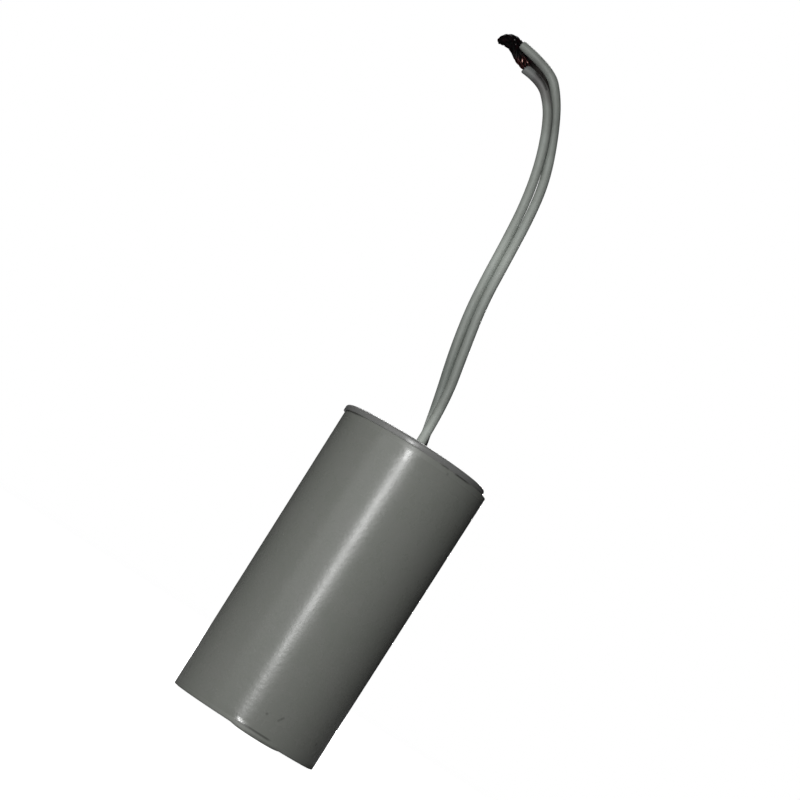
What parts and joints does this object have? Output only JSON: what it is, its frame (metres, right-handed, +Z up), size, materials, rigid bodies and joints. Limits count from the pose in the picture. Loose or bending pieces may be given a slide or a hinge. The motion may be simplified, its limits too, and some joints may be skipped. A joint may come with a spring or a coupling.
{
  "type": "film capacitor",
  "caption": "Round plastic-cased film capacitor with a flat off-centre lid and flexible insulated leads that end in bare, charred strands.",
  "frame": {"origin": "centre of the can's flat base, where it stands", "axes": "+Z up the can's axis to the lid and the leads, -Y the pictured front, -X the side the lead ends bend to"},
  "size_m": [0.0582, 0.0404, 0.1804],
  "materials": {
    "can_plastic": "satin moulded",
    "lid_plastic": "satin moulded",
    "lead_jacket": "soft vinyl",
    "metallised_film": "metallised film",
    "wrap_film": "clear film",
    "core_plastic": "moulded",
    "sleeve_plastic": "extruded",
    "sprayed_zinc": "rough sprayed metal",
    "solder": "dull solder",
    "tinned_copper": "tinned",
    "resin": "cast resin",
    "bare_copper": "tarnished copper strands",
    "charred_copper": "burnt black"
  },
  "bodies": {
    "root": {"can": "can_plastic", "lid": "lid_plastic", "film_winding": "metallised_film", "winding_core": "core_plastic", "winding_wrap": "wrap_film", "end_spray_top": "sprayed_zinc", "end_spray_bottom": "sprayed_zinc", "lead_front_root": "lead_jacket", "lead_back_root": "lead_jacket", "tail_front": "tinned_copper", "tail_back": "tinned_copper", "core_sleeve": "sleeve_plastic", "solder_joint_top": "solder", "solder_joint_bottom": "solder", "potting_resin": "resin", "lead_front": "lead_jacket", "lead_back": "lead_jacket", "lead_front_strands": "bare_copper", "lead_back_strands": "bare_copper", "charred_twist": "charred_copper"}
  },
  "joints": []
}
